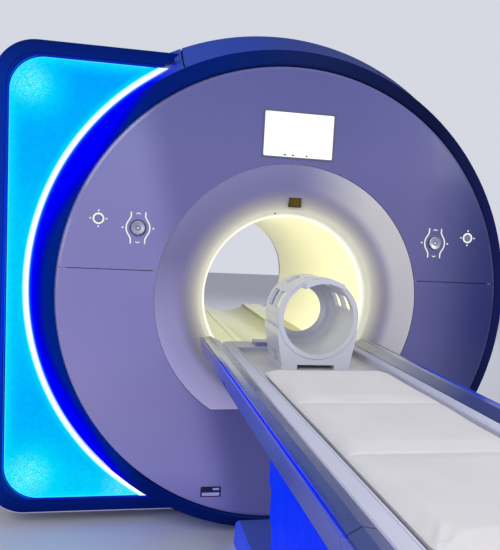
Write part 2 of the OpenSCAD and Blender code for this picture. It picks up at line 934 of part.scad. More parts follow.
module end_covers() {
  u = chassis_z - bore_h;
  o = table_half - 24.3;
  color("lavender") {
    both() {
      slab(foot_d, -rail_joint - joint_w) band_outline();
      difference() {
        slab(foot_d, joint_skew - rail_joint) rail_outline();
        head_side(-joint_w);
      }
    }
    slab(foot_d - 14, foot_d) polygon([
      [-table_half, -band_drop], [-table_half + band_taper, -band_drop - band_h],
      [-o + 12, u + 8], [-o + 50, u], [o - 50, u], [o - 12, u + 8],
      [table_half - band_taper, -band_drop - band_h], [table_half, -band_drop]]);
    slab(head_d - 5, head_d) polygon([
      [-o, -band_drop - 20], [-o, -band_drop - band_h - 2], [-o + 12, u + 8], [-o + 50, u],
      [o - 50, u], [o - 12, u + 8], [o, -band_drop - band_h - 2], [o, -band_drop - 20],
      [rail_in + 6, -top_drop - 12], [rail_in + 6, -bed_drop - 4],
      [-rail_in - 6, -bed_drop - 4], [-rail_in - 6, -top_drop - 12]]);
  }
}

// Belt drive of the tabletop

module roller_axis(d) {
  translate([0, y_face + d, bore_h + roller_z]) rotate([0, 90, 0]) children();
}

module roller(d) {
  roller_axis(d) {
    cylinder(r = pulley_r, h = belt_w + 4, center = true);
    cylinder(r = 4, h = 2 * strip_x - 10, center = true);
  }
}

module drive_pulley() {
  color("silver") roller(drive_d);
}

module idler_pulley() {
  color("silver") roller(idler_d);
}

module belt_loop(r) {
  translate([drive_d, -r]) square([idler_d - drive_d, 2 * r]);
  for (d = [drive_d, idler_d]) translate([d, 0]) circle(r);
}

module drive_belt() {
  color("black") translate([-belt_w / 2, y_face, bore_h + roller_z])
    rotate([90, 0, 90]) linear_extrude(belt_w) difference() {
      belt_loop(pulley_r + run_gap + belt_t);
      belt_loop(pulley_r + run_gap);
    }
}

// Sliding tabletop and what it carries

module tabletop() {
  y1 = y_face + top_head;
  y0 = y_face + top_foot;
  color("white") {
    difference() {
      intersection() {
        slab(top_foot, top_head) polygon([
          [-top_w + 4, -top_drop], [-top_w, -top_drop - 4], [-top_w, -top_drop - 10],
          [-262, -206], [-200, -226], [-170, -bed_drop], [170, -bed_drop], [200, -226],
          [262, -206], [top_w, -top_drop - 10], [top_w, -top_drop - 4],
          [top_w - 4, -top_drop]]);
        translate([0, 0, bore_h - 300]) linear_extrude(200) rrect(-top_w, y0, top_w, y1, 60);
      }
      slab(-pad_end - channel, recess_d)
        translate([-pad_half - channel, -top_drop - recess])
          square([2 * (pad_half + channel), 50]);
      both() slab(top_foot - 60, 0) translate([pad_half + channel + 5, -top_drop - 2])
        square([3, 10]);
    }
    slab(-80, -20) translate([-13, -bed_drop - 3.2]) square([26, 6]);
  }
}

module mattress() {
  z = bore_h - top_drop - recess;
  color("aliceblue") translate([0, 0, z]) linear_extrude(pad_t)
    rrect(-pad_half, y_face - pad_end, pad_half, y_face - pad_start, 24);
}

// Outer form of the coil: banded foot end, straight body, domed head end
module coil_form() {
  translate([0, y_face, bore_h + coil_z]) rotate([-90, 0, 0]) rotate_extrude() polygon(concat(
    [[0, coil_d1], [coil_r + 2, coil_d1], [coil_r + 5, coil_d1 + 4],
    [coil_r + 5, coil_d1 + 16], [coil_r, coil_d1 + 22]],
    [for (i = [0:coil_n]) [dome_r(i / coil_n), dome_d(i / coil_n)]],
    [[0, coil_d0]]));
}

module coil_hollow() {
  translate([0, y_face, bore_h + coil_z]) rotate([-90, 0, 0]) rotate_extrude() polygon(concat(
    [[0, coil_d1 - 120], [coil_r - coil_wall, coil_d1 - 120]],
    [for (i = [0:coil_n]) [dome_r(i / coil_n) - coil_wall, dome_d(i / coil_n)]],
    [[coil_r - dome_in - coil_wall, coil_d0 + 10], [0, coil_d0 + 10]]));
}

// A rounded window cut outwards from the coil's axis at an angle from the top
module coil_window(angle, d0, length, width) {
  translate([0, y_face, bore_h + coil_z]) rotate([0, angle, 0]) translate([0, 0, 60])
    linear_extrude(200) rrect(-width / 2, d0, width / 2, d0 + length, coil_round);
}

module coil_base() {
  floor_z = -top_drop - recess;
  color("white") difference() {
    union() {
      difference() {
        coil_form();
        slab(coil_d1 - 100, coil_d0 + 10) translate([-2 * coil_r, coil_z - split])
          square(4 * coil_r);
      }
      slab(coil_d1 + 4, coil_d0 - dome_len) polygon([
        [-coil_r - 3, coil_z - 40], [-coil_r - 3, coil_z - 64], [-coil_r + 18, floor_z + 14],
        [-coil_r + 18, floor_z], [coil_r - 18, floor_z], [coil_r - 18, floor_z + 14],
        [coil_r + 3, coil_z - 64], [coil_r + 3, coil_z - 40]]);
    }
    coil_hollow();
    slab(coil_d1 - 100, coil_d0 + 10) translate([-70, floor_z - 10]) square([140, 26]);
    both() translate([coil_r - 40, y_face + coil_d1 + 60, bore_h + floor_z + 15])
      cube([80, coil_len - dome_len - 120, 40]);
  }
}

module coil_upper() {
  color("white") difference() {
    union() {
      difference() {
        coil_form();
        coil_hollow();
      }
      slab(coil_d1 - 58, coil_d1 + 1) intersection() {
        translate([0, coil_z]) difference() {
          circle(coil_r + 2);
          circle(coil_r - coil_wall);
        }
        translate([-72, coil_z + 60]) square([144, 200]);
      }
    }
    slab(coil_d1 - 100, coil_d0 + 10) translate([-300, -300]) square([600, 300 + coil_z + split]);
    for (a = [-27, 27]) coil_window(a, coil_d1 + 118, 62, 50);
    coil_window(0, coil_d1 + 26, 64, 84);
    coil_window(0, coil_d1 - 44, 34, 84);
    for (a = [-66, 66], k = [0, 1]) coil_window(a, coil_d1 + 32 + 96 * k, 78, 66);
  }
}

module coil_sockets() {
  color("darkgray") both() {
    slab(-110, -40) translate([70, -top_drop]) square([90, 16]);
    for (x = [88, 115, 142]) slab(-113, -109) translate([x, -top_drop + 8]) circle(5);
  }
}

front_cover_upper();
front_cover_lower();
funnel();
bore_light_ring();
rim_ring();
shell_top();
shell_left();
shell_right();
rear_cover();
bore_liner();
panel_frame();
panel_diffuser();
light_arc();
panel_housing();
screen_bezel();
screen();
jog_seats();
control_marks();
funnel_lenses();
front_frame();
cover_hoops();
magnet_vessel();
cold_mass();
cold_head();
gradient_coil();
magnet_feet();
base_skirt();
table_guide();
plinth();
base_plate();
anchor_bolts();
pedestal_base();
column_outer();
pedestal_lower();
column_middle();
pedestal_middle();
pedestal_upper();
column_inner();
chassis();
deck_beams();
rail_cover_left();
rail_cover_right();
side_band_left();
side_band_right();
end_covers();
drive_belt();
drive_pulley();
idler_pulley();
tabletop();
mattress();
coil_base();
coil_upper();
coil_sockets();
jog_dial_left();
jog_dial_right();
jog_push_left();
jog_push_right();
button_left();
button_right();
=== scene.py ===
"""Looks of the scanner: materials, the soft mattress, small fittings, light and camera."""
import json
import math

import bmesh
import bpy
from mathutils import Matrix, Vector


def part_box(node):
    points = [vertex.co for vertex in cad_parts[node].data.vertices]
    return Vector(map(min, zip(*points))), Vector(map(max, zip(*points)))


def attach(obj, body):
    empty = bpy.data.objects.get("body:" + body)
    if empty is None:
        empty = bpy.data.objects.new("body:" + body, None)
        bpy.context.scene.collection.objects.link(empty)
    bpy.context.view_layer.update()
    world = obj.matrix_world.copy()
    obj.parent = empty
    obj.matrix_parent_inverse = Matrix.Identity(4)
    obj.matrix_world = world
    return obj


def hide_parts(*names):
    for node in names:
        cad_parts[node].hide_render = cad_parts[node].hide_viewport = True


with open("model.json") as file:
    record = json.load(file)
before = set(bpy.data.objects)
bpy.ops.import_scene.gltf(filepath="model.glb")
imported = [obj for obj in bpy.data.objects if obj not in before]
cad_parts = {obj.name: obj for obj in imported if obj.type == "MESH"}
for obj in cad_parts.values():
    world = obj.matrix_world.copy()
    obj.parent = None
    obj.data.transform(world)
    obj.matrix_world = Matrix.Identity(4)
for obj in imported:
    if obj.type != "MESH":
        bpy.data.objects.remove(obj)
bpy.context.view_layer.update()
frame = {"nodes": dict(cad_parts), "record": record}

# Places that the materials and fittings share, in metres
FACE_Y = -0.865                                 # plane of the front cover
AXIS_Z = 1.060                                  # axis of the bore
DISC_Z = 1.070                                  # axis of front disc, rim ring and light arc
ARC_LO, ARC_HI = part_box("light_arc")
ARC_R = -ARC_LO[0]                              # outer radius of the light arc
TABLE_Y = (-2.70, -0.90)                        # stretch of the table that the colours follow
FRAME_OUTLINE = (-1.25, 0.057, 2.086, 0.176)    # panel frame: left, low, high, corner radius
LIT_LEFT = -1.184                               # lit opening of the panel: left
LIT_OUTLINE = (0.125, 2.018, 0.145)             # and low, high, corner radius
STAGE_EDGES = (0.370, 0.480, 0.592)             # upper edges of the pedestal's stages
PEDESTAL_TOP = 0.8

BLACK = (0.0, 0.0, 0.0)
WARM_LIGHT = (255, 246, 205)


def lin(r, g, b):
    """Display colour 0-255 to linear."""
    out = []
    for v in (r, g, b):
        v /= 255.0
        out.append(v / 12.92 if v <= 0.04045 else ((v + 0.055) / 1.055) ** 2.4)
    return out


# Materials

class Nodes:
    """A material's node tree with short helpers."""

    def __init__(self, name):
        self.mat = bpy.data.materials.new(name)
        self.mat.use_nodes = True
        self.tree = self.mat.node_tree
        self.tree.nodes.clear()
        out = self.add("ShaderNodeOutputMaterial")
        self.bsdf = self.add("ShaderNodeBsdfPrincipled")
        self.link(self.bsdf.outputs[0], out.inputs[0])
        self.coord = None

    def add(self, kind, **props):
        n = self.tree.nodes.new(kind)
        for k, v in props.items():
            setattr(n, k, v)
        return n

    def link(self, a, b):
        self.tree.links.new(a, b)

    def set(self, **values):
        """Constants of the shader's inputs, with _ for each space in their names."""
        for k, v in values.items():
            self.bsdf.inputs[k.replace("_", " ")].default_value = v

    def feed(self, name, value):
        """Links a value to one of the shader's inputs."""
        self.link(value, self.bsdf.inputs[name])

    def pos(self):
        if self.coord is None:
            self.coord = self.add("ShaderNodeTexCoord").outputs["Object"]
        return self.coord

    def xyz(self):
        s = self.add("ShaderNodeSeparateXYZ")
        self.link(self.pos(), s.inputs[0])
        return s.outputs

    def noise(self, scale, detail=3.0, stretch=(1, 1, 1), rough=0.5):
        m = self.add("ShaderNodeMapping")
        m.inputs["Scale"].default_value = stretch
        self.link(self.pos(), m.inputs[0])
        n = self.add("ShaderNodeTexNoise")
        n.inputs["Scale"].default_value = scale
        n.inputs["Detail"].default_value = detail
        n.inputs["Roughness"].default_value = rough
        self.link(m.outputs[0], n.inputs["Vector"])
        return n.outputs[0]

    def ramp(self, fac, stops):
        """Linear colours over fac; each stop is its place and its colour."""
        r = self.add("ShaderNodeValToRGB")
        e = r.color_ramp.elements
        while len(e) < len(stops):
            e.new(0.5)
        for i, (p, c) in enumerate(stops):
            e[i].position = p
            e[i].color = (*c, 1)
        self.link(fac, r.inputs[0])
        return r.outputs[0]

    def math(self, op, a, b=None, clamp=False):
        n = self.add("ShaderNodeMath", operation=op, use_clamp=clamp)
        for i, v in enumerate((a, b)):
            if isinstance(v, (int, float)):
                n.inputs[i].default_value = v
            elif v is not None:
                self.link(v, n.inputs[i])
        return n.outputs[0]

    def times(self, value, *factors):
        for f in factors:
            value = self.math("MULTIPLY", value, f)
        return value

    def hypot(self, a, b):
        return self.math("SQRT", self.math("ADD", self.times(a, a), self.times(b, b)))

    def span(self, value, a, b, lo=0.0, hi=1.0, smooth=True):
        """Goes from lo to hi as value goes from a to b."""
        n = self.add("ShaderNodeMapRange", clamp=True)
        n.interpolation_type = "SMOOTHSTEP" if smooth else "LINEAR"
        self.link(value, n.inputs["Value"])
        for k, v in (("From Min", a), ("From Max", b), ("To Min", lo), ("To Max", hi)):
            n.inputs[k].default_value = v
        return n.outputs[0]

    def along(self, value, a, b, *stops):
        """Display colours as value goes from a to b; each stop is its place, then r, g, b."""
        fac = self.span(value, a, b, smooth=False)
        return self.ramp(fac, [(p, lin(*rgb)) for p, *rgb in stops])

    def mix(self, fac, a, b, blend="MIX"):
        n = self.add("ShaderNodeMix", data_type="RGBA", blend_type=blend)
        for sock, v in ((n.inputs[0], fac), (n.inputs[6], a), (n.inputs[7], b)):
            if isinstance(v, (int, float)):
                sock.default_value = v
            elif isinstance(v, (tuple, list)):
                sock.default_value = (*v, 1)
            else:
                self.link(v, sock)
        return n.outputs[2]

    def shade(self, colour, value, stops, lo, hi):
        """Multiplies a colour by a grey that follows value from lo to hi."""
        grey = self.ramp(self.span(value, lo, hi, smooth=False), [(p, (g, g, g)) for p, g in stops])
        return self.mix(1.0, colour, grey, "MULTIPLY")

    def tint(self, colour, low, scale, detail, stretch=(1, 1, 1)):
        """Multiplies a colour by patches of a soft tint, low at the darkest."""
        patches = self.ramp(self.noise(scale, detail, stretch), [(0.3, low), (0.7, (1, 1, 1))])
        return self.mix(1.0, colour, patches, "MULTIPLY")

    def waver(self, scale, detail, lo, hi):
        """A value that wanders between lo and hi over the surface."""
        return self.span(self.noise(scale, detail), 0.3, 0.7, lo, hi)

    def radius(self, centre_z):
        """Distance from the bore's or the disc's axis."""
        x, _, z = self.xyz()
        return self.hypot(x, self.math("SUBTRACT", z, centre_z))

    def near_point(self, x0, z0, r):
        """One at a point of the front view, zero from r outwards."""
        x, _, z = self.xyz()
        d = self.hypot(self.math("SUBTRACT", x, x0), self.math("SUBTRACT", z, z0))
        return self.span(d, 0.0, r, 1.0, 0.0)

    def inside(self, left, low, high, r):
        """Distance inside a front-view outline with rounded left corners; left may be a socket."""
        x, _, z = self.xyz()
        dx = self.math("SUBTRACT", self.math("ADD", left, r), x)
        dz = self.math("MAXIMUM", self.math("SUBTRACT", z, high - r),
                       self.math("SUBTRACT", low + r, z))
        d = self.hypot(self.math("MAXIMUM", dx, 0.0), self.math("MAXIMUM", dz, 0.0))
        return self.math("SUBTRACT", r, d)

    def bump(self, height, strength, distance=0.001):
        b = self.add("ShaderNodeBump")
        b.inputs["Strength"].default_value = strength
        b.inputs["Distance"].default_value = distance
        self.link(height, b.inputs["Height"])
        self.feed("Normal", b.outputs[0])

    def grain(self, scale, strength):
        """Fine moulded grain."""
        self.bump(self.noise(scale, 2), strength)

    def varied(self, base, amount=0.05, scale=3.0, rough=0.3, rough_var=0.05, grain=0.03):
        """Base colour with soft broad variation, uneven gloss and a fine moulded grain."""
        lo = [max(0, c * (1 - amount)) for c in base]
        hi = [min(1, c * (1 + amount)) for c in base]
        self.feed("Base Color", self.ramp(self.noise(scale, 4), [(0.3, lo), (0.7, hi)]))
        self.feed("Roughness", self.waver(scale * 4, 3, max(0.02, rough - rough_var),
                                          rough + rough_var))
        if grain:
            self.grain(150.0, grain)


def plastic(name, rgb, rough=0.25, coat=0.0, amount=0.04, grain=0.02, scale=3.0):
    n = Nodes(name)
    n.varied(lin(*rgb), amount, scale, rough, 0.05, grain)
    if coat:
        n.set(Coat_Weight=coat, Coat_Roughness=0.06)
    return n


def metal(name, rgb, rough=0.3):
    """Brushed metal with upright streaks."""
    n = Nodes(name)
    streak = n.noise(40.0, 5, (1, 1, 40))
    base = lin(*rgb)
    lo, hi = [c * 0.88 for c in base], [min(1, c * 1.1) for c in base]
    n.feed("Base Color", n.ramp(streak, [(0.3, lo), (0.7, hi)]))
    n.feed("Roughness", n.span(streak, 0.3, 0.7, rough - 0.08, rough + 0.08))
    n.set(Metallic=1.0)
    n.bump(streak, 0.05)
    return n


def lit(name, rgb, strength):
    """A diffuser that shines a little unevenly."""
    n = Nodes(name)
    n.set(Base_Color=(*[c * 0.1 for c in lin(*rgb)], 1), Roughness=0.4,
          Specular_IOR_Level=0.2, Emission_Color=(*lin(*rgb), 1))
    n.feed("Emission Strength", n.waver(24, 3, strength * 0.96, strength * 1.03))
    return n


def cover_material():
    """Glossy white cover in painted light: the lavender cast of the room's light, paler on the left
    as a painted reflection, painted blue shade at the far right.
    """
    n = Nodes("cover_white")
    x, _, z = n.xyz()
    plain = n.along(z, 0.10, 2.03, (0.0, 94, 94, 152), (0.2, 98, 96, 152), (0.5, 101, 99, 152),
                    (0.8, 101, 99, 154), (1.0, 90, 92, 152))
    # Painted light on the left: a paler tone, blended in along a soft diagonal
    pale = n.along(z, 0.10, 2.03, (0.0, 107, 105, 171), (0.12, 142, 137, 193),
                   (0.25, 144, 137, 187), (0.40, 136, 130, 184), (0.6, 129, 125, 179),
                   (0.82, 128, 127, 179), (1.0, 108, 108, 170))
    side = n.math("ADD", x, n.times(n.math("SUBTRACT", z, 0.5), 0.25))
    tone = n.mix(n.span(side, -0.22, -0.40), plain, pale)
    # Painted blue shade towards the far right
    tone = n.mix(n.span(x, 0.54, 0.93), tone, lin(35, 43, 105))
    n.feed("Base Color", n.tint(tone, (0.94, 0.94, 0.96), 1.3, 2))
    n.feed("Roughness", n.waver(5, 2, 0.16, 0.22))
    n.grain(140, 0.012)
    n.set(Specular_IOR_Level=0.3, Coat_Weight=0.2, Coat_Roughness=0.05)
    return n


def funnel_material():
    """The cover's plastic, washed with warm light towards the bore."""
    n = Nodes("funnel_white")
    x, _, z = n.xyz()
    r = n.radius(AXIS_Z)
    # Away from the bore, painted room light: paler low down and towards the right
    cool = n.along(z, 0.55, 1.62, (0.0, 205, 196, 230), (0.3, 169, 162, 204),
                   (0.62, 120, 114, 157), (1.0, 124, 122, 167))
    cool = n.mix(n.span(x, -0.02, 0.36), cool, lin(204, 200, 202))
    wash = n.along(r, 0.378, 0.470, (0.0, 222, 219, 204), (0.22, 192, 188, 182),
                   (0.45, 170, 166, 171), (0.70, 148, 144, 166), (1.0, 136, 131, 166))
    colour = n.mix(n.span(r, 0.485, 0.430), cool, wash)
    n.feed("Base Color", n.tint(colour, (0.94, 0.94, 0.96), 1.5, 3))
    n.set(Emission_Color=(*lin(*WARM_LIGHT), 1), Roughness=0.24, Specular_IOR_Level=0.35,
          Coat_Weight=0.2, Coat_Roughness=0.06)
    n.feed("Emission Strength", n.span(r, 0.378, 0.425, 0.10, 0.0))
    n.grain(140, 0.012)
    return n


def glow_left(n, x, lo=-0.46, hi=-0.62):
    """One on the left side, where the light panel shines on the covers."""
    return n.span(x, lo, hi)


def shell_material():
    """Shell plastic in painted light: a painted glow of the panel's deep blue light on the left
    between the rim ring and the light arc, white beside the arc, bluer on the left and painted
    darker towards the top.
    """
    n = Nodes("shell_grey")
    x, y, z = n.xyz()
    # Painted light: bluer and brighter on the left where the panel shines, painted shade towards
    # the top
    tone = n.along(x, -0.6, 1.0, (0.0, 66, 94, 202), (0.25, 65, 91, 196), (0.41, 74, 90, 172),
                   (0.55, 83, 98, 158), (1.0, 60, 66, 112))
    tone = n.shade(tone, z, [(0.0, 1.0), (0.5, 0.9), (1.0, 0.62)], 1.70, 2.20)
    tone = n.mix(n.span(y, FACE_Y + 0.36, FACE_Y + 0.75), tone, lin(98, 99, 152))
    shining = n.times(glow_left(n, x), n.span(y, FACE_Y + 0.300, FACE_Y + 0.285))
    colour = n.mix(shining, tone, lin(0, 0, 20))
    n.feed("Base Color", n.tint(colour, (0.88, 0.88, 0.9), 1.6, 4))
    n.feed("Roughness", n.waver(10, 3, 0.42, 0.54))
    n.set(Specular_IOR_Level=0.0)
    n.grain(150, 0.015)
    # Painted light of the arc, spilling white onto the shell beside it
    by_arc = n.along(n.radius(DISC_Z), ARC_R - 0.050, ARC_R - 0.019, (0.0, 0, 0, 250),
                     (0.16, 0, 4, 251), (0.39, 2, 52, 253), (0.64, 4, 116, 248),
                     (0.82, 236, 252, 253), (1.0, 250, 255, 253))
    n.feed("Emission Color", n.mix(n.span(x, -0.50, -0.60), lin(0, 0, 250), by_arc))
    n.feed("Emission Strength", shining)
    return n


def rim_material():
    """Dark satin ring whose outer part takes the panel's blue light on the left."""
    n = Nodes("rim_navy")
    x, _, z = n.xyz()
    tone = n.along(x, -1.0, 1.0, (0.0, 0, 24, 112), (0.30, 7, 32, 110), (0.42, 14, 35, 100),
                   (0.52, 26, 37, 88), (0.62, 23, 33, 77), (0.8, 18, 25, 62), (1.0, 29, 36, 90))
    shining = glow_left(n, x, -0.56, -0.72)
    n.feed("Base Color", n.mix(shining, n.tint(tone, (0.88, 0.88, 0.9), 2.5, 3), BLACK))
    off = n.math("SUBTRACT", z, DISC_Z)
    gain = n.math("MAXIMUM", n.span(off, 0.12, 0.60, 0.0, 0.070),
                  n.span(off, -0.12, -0.58, 0.0, 0.046))
    r = n.math("ADD", n.radius(DISC_Z), n.times(gain, n.span(x, -0.60, -0.84)))
    n.feed("Emission Color", n.along(r, 0.962, 1.080, (0.0, 0, 34, 124), (0.33, 1, 33, 135),
                                     (0.44, 1, 20, 160), (0.55, 0, 7, 196), (0.67, 0, 0, 228),
                                     (0.80, 0, 0, 250)))
    n.feed("Emission Strength", shining)
    n.feed("Roughness", n.waver(12, 3, 0.26, 0.38))
    n.set(Specular_IOR_Level=0.0)
    n.grain(160, 0.02)
    return n


def frame_material():
    """Dark panel frame in the panel's painted blue light: bluer and brighter at middle height, with
    a painted glowing line where it turns in to the glowing face.
    """
    n = Nodes("panel_dark")
    x, y, z = n.xyz()
    # Painted blue light of the panel, brightest at middle height
    colour = n.along(z, 0.06, 2.08, (0.0, 4, 24, 92), (0.06, 3, 40, 140), (0.5, 3, 52, 170),
                     (0.93, 3, 42, 140), (1.0, 2, 27, 104))
    colour = n.tint(colour, (0.92, 0.92, 0.94), 3, 2)
    trim = n.times(n.span(n.inside(*FRAME_OUTLINE), 0.0065, 0.0050), n.span(z, 0.60, 0.40))
    n.feed("Base Color", n.mix(trim, colour, lin(186, 180, 204)))
    n.feed("Roughness", n.waver(12, 2, 0.28, 0.4))
    # Painted light: a glowing line where the frame's step catches the panel's light
    step = n.span(y, FACE_Y + 0.2362, FACE_Y + 0.2365)
    wall = n.span(y, FACE_Y + 0.2388, FACE_Y + 0.2385)
    mid_z, half = 1.0715, 0.9485
    past = n.math("SUBTRACT", n.math("ABSOLUTE", n.math("SUBTRACT", z, mid_z)), half)
    edge = n.math("MAXIMUM", past, n.math("SUBTRACT", LIT_LEFT, x))
    bend = n.inside(LIT_LEFT, *LIT_OUTLINE)
    line = n.times(step, n.span(edge, 0.030, 0.020), n.span(bend, -0.012, -0.005))
    n.set(Specular_IOR_Level=0.02)
    n.feed("Emission Color", n.mix(wall, lin(0, 14, 150), lin(10, 84, 255)))
    n.feed("Emission Strength", line)
    n.grain(150, 0.02)
    return n


def glow_material():
    """Light panel: azure field, cyan at its edges, a soft sparkling glow in three corners."""
    n = Nodes("panel_glow")
    z = n.xyz()[2]
    left = n.span(z, 0.12, 1.9, LIT_LEFT + 0.020, LIT_LEFT, smooth=False)
    edge = n.inside(left, *LIT_OUTLINE)
    arc = n.math("SUBTRACT", n.radius(DISC_Z), ARC_R)
    field = n.along(z, 0.12, 2.02, (0.0, 1, 212, 252), (0.10, 1, 190, 252), (0.22, 1, 176, 253),
                    (0.36, 1, 190, 252), (0.5, 1, 206, 251), (0.64, 1, 196, 252),
                    (0.76, 1, 176, 254), (0.9, 1, 170, 254), (1.0, 1, 158, 254))
    rim = n.along(edge, 0.0, 0.08, (0.0, 96, 244, 250), (0.05, 10, 224, 250),
                  (0.4, 1, 204, 252), (1.0, 1, 184, 254))
    colour = n.mix(n.times(n.span(edge, 0.08, 0.0), 0.85), field, rim)
    colour = n.mix(n.span(arc, 0.030, 0.0), colour, lin(2, 206, 248))
    corner = n.math("ADD", n.near_point(-1.09, 1.90, 0.20), n.near_point(-1.05, 0.24, 0.20),
                    clamp=True)
    colour = n.mix(n.times(corner, 0.8), colour, lin(2, 236, 250))
    tight = n.math("ADD", n.near_point(-1.105, 1.91, 0.11), n.near_point(-1.07, 0.22, 0.13),
                   clamp=True)
    tight = n.math("MAXIMUM", tight, n.times(n.near_point(-0.64, 0.16, 0.14), 0.8))
    speck = n.span(n.noise(230, 1), 0.53, 0.61)
    colour = n.mix(n.times(tight, 0.30), colour, lin(60, 248, 248))
    colour = n.mix(n.times(tight, 0.75, speck), colour, lin(170, 252, 250))
    # Outside the rounded outline, the frame's step painted on the panel: a dark band, a bright line
    # of painted light, then the frame's navy
    for inner, outer, rgb in ((0.0006, -0.0006, (0, 16, 150)), (-0.0040, -0.0048, (10, 84, 255)),
                              (-0.0076, -0.0084, (3, 34, 116))):
        colour = n.mix(n.span(edge, inner, outer), colour, lin(*rgb))
    n.set(Base_Color=(0.0, 0.012, 0.03, 1), Roughness=0.5, Specular_IOR_Level=0.0)
    n.feed("Emission Color", colour)
    n.feed("Emission Strength", n.span(n.noise(60, 2), 0.35, 0.65, 0.95, 1.02))
    return n


def arc_material():
    """Light arc: white, turning cyan on the panel's side."""
    n = Nodes("arc_glow")
    n.feed("Emission Color", n.along(
        n.radius(DISC_Z), ARC_R - 0.020, ARC_R, (0.0, 246, 253, 253), (0.62, 250, 255, 253),
        (0.80, 110, 246, 244), (1.0, 10, 222, 244)))
    n.set(Base_Color=(0.0, 0.03, 0.06, 1), Roughness=0.5, Specular_IOR_Level=0.0)
    n.feed("Emission Strength", n.waver(30, 2, 1.03, 1.10))
    return n


def bore_material(name, base, strength, end):
    """Plastic of the lit bore, brightest near its mouth."""
    n = Nodes(name)
    n.varied(lin(*base), 0.03, 4, 0.36, 0.05, 0.012)
    n.set(Emission_Color=(*lin(255, 250, 206), 1), Specular_IOR_Level=0.3)
    n.feed("Emission Strength", n.span(n.xyz()[1], -0.80, 0.75, strength, end))
    return n


def ring_material():
    """Lit ring at the bore's mouth, white at its inner edge."""
    n = Nodes("light_warm")
    r = n.radius(AXIS_Z)
    n.set(Base_Color=(*lin(120, 118, 110), 1), Roughness=0.4, Specular_IOR_Level=0.2)
    n.feed("Emission Color", n.mix(n.span(r, 0.368, 0.356), lin(238, 238, 220),
                                   lin(255, 255, 246)))
    n.feed("Emission Strength", n.times(n.waver(24, 3, 0.97, 1.03),
                                        n.span(r, 0.369, 0.355, 0.62, 0.90)))
    return n


def slate_top(n, y):
    """Rail colour along its length in painted light: cream where the bore's light falls, deep blue
    in the blue light further out, then slate.
    """
    return n.along(y, *TABLE_Y, (0.0, 60, 74, 134), (0.16, 58, 76, 136), (0.24, 40, 70, 148),
                   (0.34, 28, 58, 148), (0.42, 14, 50, 164), (0.48, 22, 56, 172),
                   (0.55, 92, 106, 178), (0.64, 160, 163, 184), (0.74, 186, 189, 194),
                   (0.92, 184, 186, 176), (1.0, 160, 164, 152))


def inner_tone(n, y):
    """The rail's steep inner facet: lavender grey in the bore's painted light, slate further out.
    """
    return n.along(y, *TABLE_Y, (0.0, 70, 82, 134), (0.35, 58, 70, 120), (0.5, 60, 72, 128),
                   (0.62, 104, 110, 142), (0.78, 148, 151, 170), (1.0, 150, 153, 166))


def rail_material():
    """Dark glossy rail cover with a darker inner facet and painted light: paler towards the lit
    bore, painted shade in the crease by the bore, a painted highlight along its outer edge and
    painted blue light beside the band.
    """
    n = Nodes("rail_grey")
    x, y, _ = n.xyz()
    away = n.math("ABSOLUTE", x)
    # Painted shade in the crease by the bore
    dim = n.times(n.span(y, -1.30, -0.92), n.span(away, 0.352, 0.334))
    colour = n.mix(dim, slate_top(n, y), lin(116, 124, 116))
    colour = n.mix(n.span(away, 0.331, 0.327), colour, inner_tone(n, y))
    # Painted highlight along the rail's outer edge
    edge = n.times(n.span(away, 0.3600, 0.3606), n.span(y, -1.75, -1.35))
    colour = n.mix(edge, colour, lin(224, 224, 214))
    # Painted blue light beside the band: a strip and a brighter line
    painted_blue_light = n.times(n.span(y, -1.20, -1.45), n.span(y, -2.66, -2.40))
    colour = n.mix(n.times(n.span(away, 0.343, 0.356), painted_blue_light), colour, lin(6, 48, 150))
    colour = n.mix(n.times(n.span(away, 0.3575, 0.3582), painted_blue_light), colour, lin(2, 48, 255))
    n.feed("Base Color", n.tint(colour, (0.95, 0.96, 0.97), 3, 1, (1, 0.3, 1)))
    n.feed("Roughness", n.waver(6, 1, 0.22, 0.28))
    n.set(Specular_IOR_Level=0.16)
    n.grain(150, 0.015)
    return n


def band_tone(n, y, z):
    """Side band in painted light: lavender by the bore, bluer in the blue light further out, darker
    along its lower edge.
    """
    tone = n.along(y, *TABLE_Y, (0.0, 84, 92, 194), (0.3, 78, 88, 186), (0.42, 70, 86, 196),
                   (0.52, 56, 78, 206), (0.68, 60, 82, 214), (0.76, 70, 88, 210),
                   (0.83, 116, 116, 192), (0.88, 134, 130, 186), (1.0, 146, 140, 188))
    return n.shade(tone, z, [(0.0, 0.80), (1.0, 1.0)], 0.83, 0.895)


def band_material():
    """Lavender side band with a groove along its top, painted dark, that glows with painted blue
    light away from the bore.
    """
    n = Nodes("band_lavender")
    x, y, z = n.xyz()
    tone = n.tint(band_tone(n, y, z), (0.9, 0.9, 0.92), 3, 3)
    groove = n.times(n.span(n.math("ABSOLUTE", x), 0.3682, 0.3678), n.span(z, 0.890, 0.892))
    dark = n.times(groove, n.span(y, -1.25, -1.15))
    # Painted blue light in the groove away from the bore
    painted_blue_light = n.times(groove, n.span(y, -1.20, -1.60))
    tone = n.mix(groove, tone, lin(4, 24, 90))
    n.feed("Base Color", n.mix(dark, tone, lin(34, 40, 84)))
    n.set(Emission_Color=(*lin(6, 44, 236), 1), Roughness=0.3, Specular_IOR_Level=0.2)
    n.feed("Emission Strength", n.times(painted_blue_light, 0.85))
    n.grain(150, 0.015)
    return n


def end_material():
    """Foot-end cover: slate on the rail's continuation, band colour elsewhere."""
    n = Nodes("end_cover")
    x, y, z = n.xyz()
    on_rail = n.times(n.span(n.math("ABSOLUTE", x), 0.3622, 0.3612), n.span(y, -3.3092, -3.3088))
    colour = n.mix(on_rail, band_tone(n, y, z), slate_top(n, y))
    n.feed("Base Color", n.tint(colour, (0.9, 0.9, 0.92), 3, 3))
    n.set(Roughness=0.28, Specular_IOR_Level=0.18)
    n.grain(150, 0.015)
    return n


